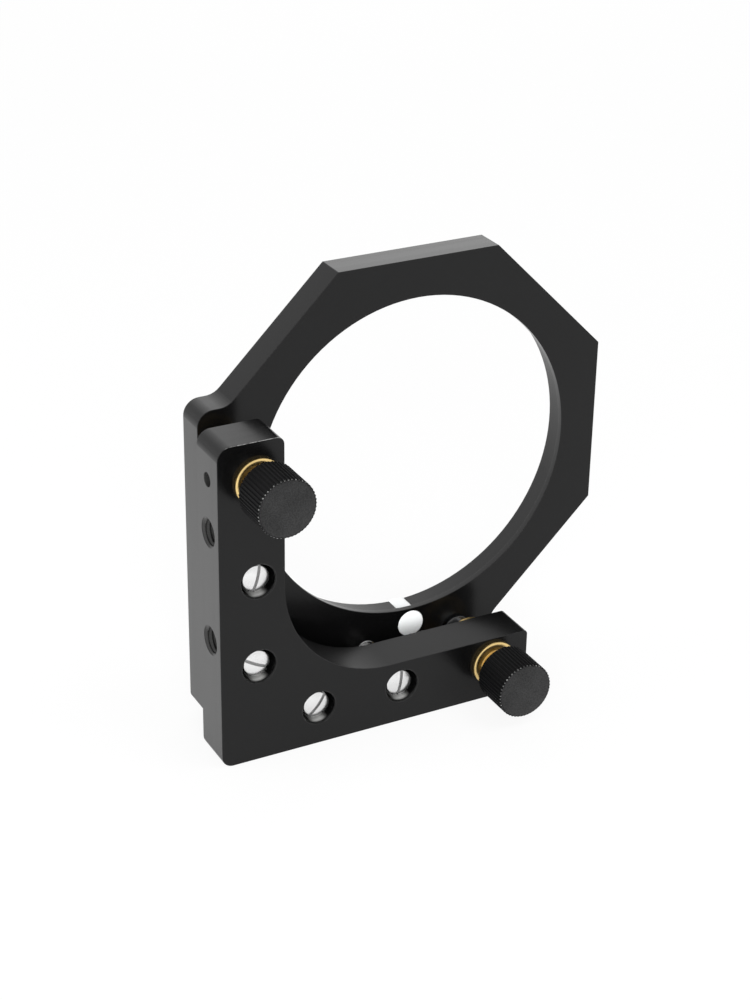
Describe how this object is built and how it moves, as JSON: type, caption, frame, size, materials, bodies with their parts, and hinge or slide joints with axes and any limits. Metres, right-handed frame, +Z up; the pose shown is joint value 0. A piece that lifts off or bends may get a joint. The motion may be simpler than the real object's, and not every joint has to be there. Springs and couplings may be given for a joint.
{
  "type": "kinematic mirror mount",
  "caption": "Two-plate kinematic mount for a round mirror: an octagonal optic frame stands off an L-shaped base on a pivot ball and fine adjusters, held by disc-spring screws.",
  "frame": {"origin": "centre of the optic's seat, on the face of the lip that the optic rests against", "axes": "+Y along the optical axis towards the front, where the optic goes in and comes out; +Z up; +X to the right as seen from the knobs"},
  "size_m": [0.0994, 0.0378, 0.0994],
  "materials": {
    "anodised_plate": "black anodised over a fine milled surface, satin",
    "anodised_knob": "black anodised, bead blasted, straight knurl",
    "brass": "turned and polished",
    "bearing_steel": "polished ball",
    "hardened_steel": "ground",
    "adjuster_steel": "fine rolled thread",
    "set_screw_steel": "nickel plated, satin",
    "nickel_screw": "nickel plated, bright",
    "spring_steel": "oiled spring steel",
    "insert_steel": "plain stainless",
    "nylon": "natural nylon, turned"
  },
  "bodies": {
    "mount_base": {"back_plate": "anodised_plate", "back_pivot_seat": "hardened_steel", "upper_bushing": "brass", "lower_bushing": "brass", "upper_ring_nut": "brass", "lower_ring_nut": "brass", "upper_lock_screw": "set_screw_steel", "lower_lock_screw": "set_screw_steel", "disc_springs_1": "spring_steel", "disc_springs_2": "spring_steel", "disc_springs_3": "spring_steel", "disc_springs_4": "spring_steel"},
    "pivot": {"pivot_ball": "bearing_steel"},
    "front_frame": {"front_plate": "anodised_plate", "front_pivot_seat": "hardened_steel", "vee_seat": "hardened_steel", "flat_seat": "hardened_steel", "tension_screw_1": "nickel_screw", "tension_screw_2": "nickel_screw", "tension_screw_3": "nickel_screw", "tension_screw_4": "nickel_screw", "thread_insert_1": "insert_steel", "thread_insert_2": "insert_steel", "thread_insert_3": "insert_steel", "thread_insert_4": "insert_steel", "left_optic_rod": "nylon", "bottom_optic_rod": "nylon", "optic_set_screw": "set_screw_steel", "optic_screw_tip": "nylon"},
    "upper_tip": {"upper_tip_ball": "bearing_steel"},
    "upper_adjuster": {"upper_adjuster_screw": "adjuster_steel", "upper_knob": "anodised_knob"},
    "lower_tip": {"lower_tip_ball": "bearing_steel"},
    "lower_adjuster": {"lower_adjuster_screw": "adjuster_steel", "lower_knob": "anodised_knob"}
  },
  "joints": [
    {"name": "upper_tip_travel", "type": "slide", "parent": "mount_base", "child": "upper_tip", "axis": [0, 1, 0], "range_m": [-0.002, 0.002]},
    {"name": "upper_knob_turn", "type": "hinge", "parent": "upper_tip", "child": "upper_adjuster", "pos_m": [-0.045, -0.00475, 0.0116], "axis": [0, 1, 0], "range_deg": [-1445, 1445]},
    {"name": "lower_tip_travel", "type": "slide", "parent": "mount_base", "child": "lower_tip", "axis": [0, 1, 0], "range_m": [-0.002, 0.002]},
    {"name": "lower_knob_turn", "type": "hinge", "parent": "lower_tip", "child": "lower_adjuster", "pos_m": [0.0116, -0.00475, -0.045], "axis": [0, 1, 0], "range_deg": [-1445, 1445]},
    {"name": "frame_pitch", "type": "hinge", "parent": "mount_base", "child": "pivot", "pos_m": [-0.045, -0.00475, -0.045], "axis": [-1, 0, 0], "range_deg": [-2.03, 2.03], "deforming": ["disc_springs_1", "disc_springs_2", "disc_springs_3", "disc_springs_4"]},
    {"name": "frame_yaw", "type": "hinge", "parent": "pivot", "child": "front_frame", "pos_m": [-0.045, -0.00475, -0.045], "axis": [0, 0, 1], "range_deg": [-2.03, 2.03], "deforming": ["disc_springs_1", "disc_springs_2", "disc_springs_3", "disc_springs_4"]}
  ],
  "couplings": [
    {"joint": "upper_knob_turn", "follows": "upper_tip_travel", "rad_per_m": 12566},
    {"joint": "frame_pitch", "follows": "upper_tip_travel", "rad_per_m": 17.668},
    {"joint": "lower_knob_turn", "follows": "lower_tip_travel", "rad_per_m": 12566},
    {"joint": "frame_yaw", "follows": "lower_tip_travel", "rad_per_m": 17.668}
  ]
}
